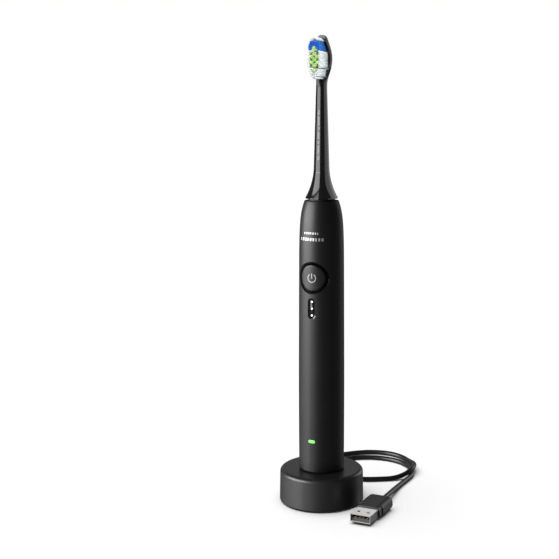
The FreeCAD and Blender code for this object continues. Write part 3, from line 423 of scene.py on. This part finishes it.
def printed(name, strokes, width, body, radius_at=handle_radius, lift=0.03, material=print_grey):
    """Ink lines: each stroke is a list of (x, z) points, drawn as a thin band that lies on the skin."""
    points, faces = [], []
    for stroke in strokes:
        first = len(points)
        for i, (x, z) in enumerate(stroke):
            ahead = stroke[min(i + 1, len(stroke) - 1)]
            behind = stroke[max(i - 1, 0)]
            way = Vector((ahead[0] - behind[0], ahead[1] - behind[1])).normalized()
            for side in (-0.5, 0.5):
                px, pz = x - way.y * width * side, z + way.x * width * side
                radius = radius_at(pz) + lift
                points.append((px, -math.sqrt(max(radius * radius - px * px, 0)), pz))
        for i in range(len(stroke) - 1):
            a = first + 2 * i
            faces.append((a, a + 2, a + 3, a + 1))
    return new_piece(name, points, faces, material, body)


ring = [(2.35 * math.sin(math.radians(a)), BUTTON_UP + 2.35 * math.cos(math.radians(a)))
        for a in range(32, 329, 6)]
bar = [(0, 132.9 + 0.3 * k) for k in range(11)]
printed("standby_symbol", [ring, bar], 0.5, "button", lambda z: handle_radius(z) - 0.08)

# ---------------------------------------------------------------- handle: mode window and its lights
# A smoked glossy lens sunk in the skin, with a bright chamfer round it, and three round light guides.
def slot_at(inset, steps):
    """Points round the mode window, a little inside its opening."""
    return pill(2.5 - inset, 6.1 - inset, WINDOW_UP, steps // 2)


bezel(slot_at, [(0.0, 2.0), (0.0, 0.12), (0.04, 0.07), (0.1, 0.08), (0.16, 0.11), (0.86, 0.49), (0.92, 0.54),
                (0.96, 0.75), (0.96, 1.8)], 96, "window_rim", gloss_black, [])
smoked = moulded("smoked_lens", (0.006, 0.006, 0.007), 0.25, 2.0, 0.001)
outline = pill(1.85, 5.45, WINDOW_UP, 36)
points = [on_skin(x, z, 0.62) for x, z in outline] + [on_skin(x, z, 2.2) for x, z in outline]
faces = [tuple(range(72))] + [(k + 72, (k + 1) % 72 + 72, (k + 1) % 72, k) for k in range(72)]
new_piece("window_lens", points, faces, smoked, "handle", ["mode_window"])


def glowing(name, colour, strength, roughness=0.3):
    """A translucent light guide, lit from behind and a little uneven."""
    material = moulded(name, colour, roughness, 0.5, 0.01, 0.03)
    tree = material.node_tree
    shader = tree.nodes["Principled BSDF"]
    tree.links.new(tree.nodes["Grain"].outputs["Color"], shader.inputs["Emission Color"])
    shader.inputs["Emission Strength"].default_value = strength
    return material


white_light = glowing("white_light", (0.92, 0.95, 1.0), 1.2)
points, faces = [], []
AROUND = 32  # points round each light guide, and round the battery light below
GUIDE = [(0.55, 3.0), (0.55, 0.5), (0.48, 0.42), (0.3, 0.36), (0.1, 0.34)]
for middle in (111.9, WINDOW_UP, 119.7):
    faces += bands(len(GUIDE), AROUND, len(points))
    for radius, sunk in GUIDE:
        turns = [2 * math.pi * k / AROUND for k in range(AROUND)]
        points += [on_skin(radius * math.cos(a), middle + radius * math.sin(a), sunk) for a in turns]
    faces.append(tuple(len(points) - AROUND + k for k in range(AROUND)))
new_piece("mode_dots", points, faces, white_light, "handle", ["mode_light_guides"])

# ---------------------------------------------------------------- handle: battery light
# A small green lens flush with the skin, low on the front, lit while the brush stands on its charger.
green_light = glowing("green_light", (0.16, 0.72, 0.10), 0.9)
LENS = [(0.0, 2.5), (0.0, 0.06), (0.08, 0.0), (0.25, -0.03), (0.6, -0.05)]
points = [on_skin(x, z, sunk) for inset, sunk in LENS
          for x, z in pill(2.06 - inset, 0.91 - inset, BATTERY_UP, AROUND // 2)]
faces = bands(len(LENS), AROUND)
faces.append(tuple((len(LENS) - 1) * AROUND + k for k in range(AROUND)))
new_piece("battery_lamp", points, faces, green_light, "handle", ["battery_lens"])

# ---------------------------------------------------------------- handle: printed mark
# The maker's print is left out. In its place is a plain row of short dashes over a longer row, in silver
# ink.
for name, first, last, count, z, high in (("upper_print", -5.1, 4.6, 7, 158.3, 1.1),
                                          ("lower_print", -7.8, 7.2, 9, 154.9, 1.7)):
    dashes = []
    pitch = (last - first) / count
    for k in range(count):
        start = first + pitch * k
        long = pitch * (0.56 if k % 3 else 0.42)
        dashes.append([(start + long * i / 5, z) for i in range(6)])
    printed(name, dashes, high, "handle", material=silver_ink)

# ---------------------------------------------------------------- brush head: neck and platform
# One polished black moulding from the flare at the handle to the platform that holds the filaments. Its
# shape in the CAD is right as it is.
paint("brush_neck", gloss_black)

# ---------------------------------------------------------------- brush head: filaments
# Nylon filaments, 0.18 mm thick and 10 mm long, fill each moulded hole as a tight bundle that opens a
# little towards its rounded tips. White, blue and green holes make the pattern seen from the front.
dice = random.Random(7)


def nylon(name, colour, tip):
    """Translucent dyed nylon, each strand a little different. Its colour carries painted shade, darker
    towards the roots where the tufts shade each other, and painted light, brighter towards the tips.
    """
    material = bpy.data.materials.new(name)
    material.use_nodes = True
    tree = material.node_tree
    shader = tree.nodes["Principled BSDF"]
    shader.inputs["Subsurface Weight"].default_value = 0.25
    shader.inputs["Subsurface Scale"].default_value = 0.002
    place = tree.nodes.new("ShaderNodeTexCoord")
    parts = tree.nodes.new("ShaderNodeSeparateXYZ")
    tree.links.new(place.outputs["Object"], parts.inputs["Vector"])
    along = tree.nodes.new("ShaderNodeMapRange")
    along.inputs["From Min"].default_value = -0.0003
    along.inputs["From Max"].default_value = -0.0099
    tree.links.new(parts.outputs["Y"], along.inputs["Value"])
    # Painted shade and light along each filament: 0.55 of the dye's colour at the roots, the dye's colour at
    # 0.6 of the way up, and a brighter colour at the tips.
    painted_shading_ramp = tree.nodes.new("ShaderNodeValToRGB")
    painted_shading_ramp.color_ramp.elements[0].color = [c * 0.55 for c in colour] + [1]
    painted_shading_ramp.color_ramp.elements[1].color = list(tip) + [1]
    middle = painted_shading_ramp.color_ramp.elements.new(0.6)
    middle.color = list(colour) + [1]
    tree.links.new(along.outputs["Result"], painted_shading_ramp.inputs["Fac"])
    strand = tree.nodes.new("ShaderNodeTexNoise")
    strand.inputs["Scale"].default_value = 2600
    tree.links.new(place.outputs["Object"], strand.inputs["Vector"])
    rough = tree.nodes.new("ShaderNodeMapRange")
    rough.inputs["To Min"].default_value = 0.34
    rough.inputs["To Max"].default_value = 0.52
    tree.links.new(strand.outputs["Fac"], rough.inputs["Value"])
    tree.links.new(rough.outputs["Result"], shader.inputs["Roughness"])
    tree.links.new(painted_shading_ramp.outputs["Color"], shader.inputs["Base Color"])
    return material


def inside(x, z, outline):
    """True if the point lies inside the closed outline."""
    hit = False
    for (x0, z0), (x1, z1) in zip(outline, outline[1:] + outline[:1]):
        if (z0 > z) != (z1 > z) and x < x0 + (z - z0) * (x1 - x0) / (z1 - z0):
            hit = not hit
    return hit


def tufts(name, outlines, material, replaced):
    """Filaments on a close hexagonal grid inside each outline, five-sided with a rounded tip. At the tip of
    the head they are set closer at the root and fan out."""
    points, faces = [], []
    pitch, thick = 0.25, 0.105
    for outline in outlines:
        low_x, high_x = min(p[0] for p in outline), max(p[0] for p in outline)
        low_z, high_z = min(p[1] for p in outline), max(p[1] for p in outline)
        centre = (sum(p[0] for p in outline) / len(outline), sum(p[1] for p in outline) / len(outline))
        row, z = 0, low_z
        while z <= high_z:
            x = low_x + (pitch / 2 if row % 2 else 0)
            while x <= high_x:
                if inside(x, z, outline):
                    jx, jz = dice.uniform(-0.04, 0.04), dice.uniform(-0.04, 0.04)
                    long = 9.85 + dice.uniform(-0.15, 0.12)
                    fan = 0.22 * min(max((z - 256.5) / 5, 0), 1)
                    root_x, root_z = x * (1 - 1.6 * fan), z - 2.5 * fan
                    lean_x = (x - centre[0]) * 0.05 + dice.uniform(-0.05, 0.05) + 1.9 * fan * x
                    lean_z = (z - centre[1]) * 0.05 + dice.uniform(-0.05, 0.05) + 3.0 * fan
                    first = len(points)
                    for away, scale in ((0.0, 1.0), (0.6, 1.0), (0.985, 0.95), (1.0, 0.45)):
                        bend = away ** (1 if fan else 2)
                        for k in range(5):
                            a = 2 * math.pi * k / 5
                            points.append((root_x + jx + lean_x * bend + thick * scale * math.cos(a),
                                           0.4 - away * (long + 0.4),
                                           root_z + jz + lean_z * bend + thick * scale * math.sin(a)))
                    for i in range(3):
                        faces += [(first + 5 * i + k, first + 5 * (i + 1) + k,
                                   first + 5 * (i + 1) + (k + 1) % 5, first + 5 * i + (k + 1) % 5)
                                  for k in range(5)]
                    faces.append(tuple(first + 15 + k for k in range(5)))
                x += pitch
            z += pitch * 0.866
            row += 1
    return new_piece(name, points, faces, material, "brush_head", replaced)


HEAD_FOOT = 238  # height where the neck ends and the platform starts


def hole(x, up, radius):
    """A round hole, at a height above the foot of the platform."""
    return [(x + radius * math.cos(math.pi * k / 8), HEAD_FOOT + up + radius * math.sin(math.pi * k / 8))
            for k in range(16)]


def both_sides(corners):
    """One hole on the right and its mirror image on the left."""
    return [[(x, HEAD_FOOT + up) for x, up in corners], [(-x, HEAD_FOOT + up) for x, up in corners]]


white_nylon = nylon("white_nylon", (0.90, 0.91, 0.91), (0.98, 0.99, 1.0))
blue_nylon = nylon("blue_nylon", (0.02, 0.17, 0.58), (0.03, 0.28, 0.88))
green_nylon = nylon("green_nylon", (0.52, 0.88, 0.26), (0.80, 1.0, 0.52))
outlines = [hole(x, up, 0.58) for x, up in ((-0.62, 26.7), (0.62, 26.7), (-1.85, 26.0), (1.85, 26.0),
                                            (-0.9, 5.3), (0.9, 5.3))]
outlines += both_sides([(2.85, 10.8), (3.9, 11.4), (3.9, 19.0), (2.85, 19.8)])
outlines += both_sides([(0.3, 6.4), (2.5, 6.4), (3.2, 10.1), (2.0, 10.1), (0.3, 7.4)])
tufts("filaments_white", outlines, white_nylon, ["bristles_white"])
outlines = both_sides([(0.08, 23.1), (2.2, 20.4), (3.4, 20.4), (3.3, 22.4), (2.4, 25.0), (1.2, 25.2),
                       (0.08, 23.9)])
tufts("filaments_blue", outlines, blue_nylon, ["bristles_blue"])
outlines = [hole(x, up, 0.92) for x, up in ((0, 12.1), (0, 15.15), (0, 18.2), (-1.75, 13.6), (1.75, 13.6),
                                            (-1.75, 16.7), (1.75, 16.7))]
outlines += [[(-1.75, 258.2), (1.75, 258.2), (0, 260.7)], [(0, 246.0), (1.4, 248.2), (-1.4, 248.2)]]
tufts("filaments_green", outlines, green_nylon, ["bristles_green"])

# ---------------------------------------------------------------- brush head: printed marks on the neck
# Plain dashes and one small ring in grey ink run up the front of the neck, where the photograph shows marks.
def neck_radius(up):
    """The neck's radius at a height: a straight taper over a flare at the foot."""
    if up > 193:
        return 4.45 - 1.35 * (up - 193) / 45
    return 4.45 + 4.65 * ((193 - up) / 15.6) ** 2.0


dashes = []
for low, high in ((198.5, 201), (202, 206.5), (207.5, 209), (210.2, 214), (215, 216.6), (217.6, 222.5),
                  (223.5, 226)):
    dashes.append([(0, low + (high - low) * k / 6) for k in range(7)])
neck_ink = moulded("neck_ink", (0.30, 0.30, 0.31), 0.4, 0.1, 0.004, 0.05)
printed("neck_print", dashes, 1.1, "brush_head", neck_radius, 0.04, neck_ink)
ring = [(1.25 * math.sin(math.radians(a)), 190.6 + 1.25 * math.cos(math.radians(a)))
        for a in range(0, 361, 15)]
printed("neck_ring", [ring], 0.45, "brush_head", neck_radius, 0.12, neck_ink)

# ---------------------------------------------------------------- charger
# A low round puck of black ABS, satin on its side with a softly rounded upper edge, on a rubber ring.
charger_black = moulded("charger_black", (0.009, 0.009, 0.0095), 0.36, 0.2, 0.010)
paint("charger_housing", charger_black)
paint("charger_base_plate", charger_black)

# ---------------------------------------------------------------- cord
# A round two-core lead in smooth black PVC, 2.9 mm thick. It leaves the back of the charger, lies in one
# and three quarter turns behind it, passes over itself at the right, and comes forward to the plug.
ROUTE = [
    (0.0, 33.0, 6.5), (0.0, 41.0, 6.5), (-1.6, 51.5, 2.6), (-1.2, 61.5, 1.45), (3.4, 70.0, 1.45),
    (11.4, 76.4, 1.45), (21.8, 81.0, 1.45), (33.2, 83.2, 1.45), (44.8, 80.2, 1.45), (52.4, 73.0, 1.45),
    (56.8, 63.0, 1.6), (58.9, 51.5, 3.9), (57.4, 42.0, 4.8), (52.6, 34.8, 3.2), (45.0, 31.0, 1.5),
    (34.6, 29.7, 1.45), (26.0, 29.2, 1.45), (17.0, 32.0, 1.45), (9.0, 38.6, 1.45), (5.2, 48.4, 1.45),
    (6.4, 58.6, 1.45), (12.4, 66.8, 1.45), (21.6, 71.0, 1.45), (31.6, 72.0, 1.45), (41.0, 69.8, 1.45),
    (49.2, 64.4, 1.45), (54.8, 56.2, 1.45), (57.4, 46.4, 1.45), (56.0, 36.7, 1.45), (51.2, 27.0, 1.45),
    (46.4, 17.4, 1.5), (42.6, 7.2, 2.6), (39.37, -2.83, 3.8), (34.72, -12.80, 3.8),
]
with_charger = Matrix.Rotation(view_angle, 4, "Z")
line = bpy.data.curves.new("cord", "CURVE")
line.dimensions = "3D"
spline = line.splines.new("NURBS")
spline.points.add(len(ROUTE) - 1)
for point, place in zip(spline.points, ROUTE):
    point.co = (*(with_charger @ (Vector(place) * MM)), 1)
spline.order_u = 3
spline.use_endpoint_u = True
spline.resolution_u = 12
line.bevel_depth = 1.45 * MM
line.bevel_resolution = 8
cord_black = moulded("cord_black", (0.010, 0.010, 0.0105), 0.33, 1.2, 0.02)
line.materials.append(cord_black)
cord = bpy.data.objects.new("cord_line", line)
bpy.context.scene.collection.objects.link(cord)
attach(cord, "charger")
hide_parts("cord")
paint("strain_relief", moulded("relief_black", (0.011, 0.011, 0.0115), 0.45, 0.3, 0.02))

# ---------------------------------------------------------------- plug
# A standard USB-A plug: a satin black grip moulded on the cord, a folded nickel-plated shell, a black tongue
# and gold-plated contacts.
overmould_black = moulded("overmould_black", (0.013, 0.013, 0.0135), 0.42, 0.2, 0.02)
paint("usb_overmould", overmould_black)
nickel = moulded("nickel", (0.70, 0.70, 0.68), 0.34, 0.4, 0.006, 0.05, metallic=0.45)
paint("usb_shell", nickel)
paint("usb_tongue", moulded("tongue_black", (0.006, 0.006, 0.006), 0.6, 0.3, 0.01))
paint("usb_contacts", moulded("gold", (0.50, 0.36, 0.16), 0.45, 0.4, 0.004, 0.05, metallic=1.0))

# ---------------------------------------------------------------- pieces inside and underneath
# None of these shows while the brush is whole. Each takes the plain finish of what it is made of.
steel = moulded("ground_steel", (0.56, 0.56, 0.55), 0.3, 0.3, 0.006, 0.05, metallic=1.0)
copper = moulded("enamelled_copper", (0.70, 0.30, 0.12), 0.32, 0.2, 0.02, 0.1, metallic=1.0)
bronze = moulded("sintered_bronze", (0.52, 0.34, 0.16), 0.45, 0.15, 0.02, 0.1, metallic=1.0)
board = moulded("solder_mask", (0.02, 0.16, 0.07), 0.35, 0.6, 0.01)
dark = moulded("moulded_epoxy", (0.03, 0.03, 0.032), 0.5, 0.2, 0.02)
frame_grey = moulded("glass_filled", (0.20, 0.21, 0.22), 0.55, 0.2, 0.03)
sleeve_blue = moulded("cell_sleeve", (0.05, 0.18, 0.45), 0.3, 0.8, 0.01)
foam = moulded("foam", (0.08, 0.08, 0.08), 0.9, 0.4, 0.1)
for material, names in (
    (steel, ("drive_shaft", "spring_collar", "torsion_spring", "base_screws", "frame_screws",
             "coupling_clip", "stator_core", "rotor_hub", "rotor_magnets", "tuft_anchors")),
    (copper, ("primary_coil", "charging_coil", "drive_coil", "tag_ring", "battery_tabs", "lead_wires")),
    (bronze, ("rear_bearing", "front_bearing")),
    (board, ("charger_board", "circuit_board")),
    (dark, ("charger_components", "board_chips", "ferrite_core", "tact_switch", "switch_plunger",
            "end_cap")),
    (frame_grey, ("drive_frame",)),
    (sleeve_blue, ("battery_cell",)),
    (foam, ("battery_pad",)),
    (matte_white, ("chassis", "primary_bobbin", "coil_former", "coil_bobbin", "shaft_coupling", "seal_clamp",
                   "indicator_leds")),
    (rubber_black, ("foot_ring", "end_cap_seal", "button_gasket", "shaft_seal")),
):
    for name in names:
        paint(name, material)

# ---------------------------------------------------------------- light linking
# Each panel lights one group of pieces; the ceiling lights the sheet, the filaments and the plug's shell.
# The panels beside the handle and the charger reach below the sheet's level, and the sheet doesn't shade
# them.
groups = {}
for piece in [*bpy.context.scene.objects]:
    if piece.type not in ("MESH", "CURVE"):
        continue
    if piece == floor:
        kind = "sheet"
    elif piece.name.startswith("filaments"):
        kind = "filaments"
    elif piece == nodes["usb_shell"]:
        kind = "plug"
    elif piece.parent == frame["bodies"]["charger"]:
        kind = "charger"
    elif piece.parent == frame["bodies"]["brush_head"]:
        kind = "head"
    else:
        kind = "handle"
    groups.setdefault(kind, []).append(piece)
above_sheet = bpy.data.collections.new("above_sheet")
for kind in groups:
    if kind != "sheet":
        for piece in groups[kind]:
            above_sheet.objects.link(piece)
for lamp in {stand.name: stand for _, stand in flagged_lights}.values():
    lit = bpy.data.collections.new("lit_by_" + lamp.name)
    for kind in {kind for kind, stand in flagged_lights if stand == lamp}:
        for piece in groups[kind]:
            lit.objects.link(piece)
    lamp.light_linking.receiver_collection = lit
    if lamp.name.startswith(("handle", "charger")):
        lamp.light_linking.blocker_collection = above_sheet
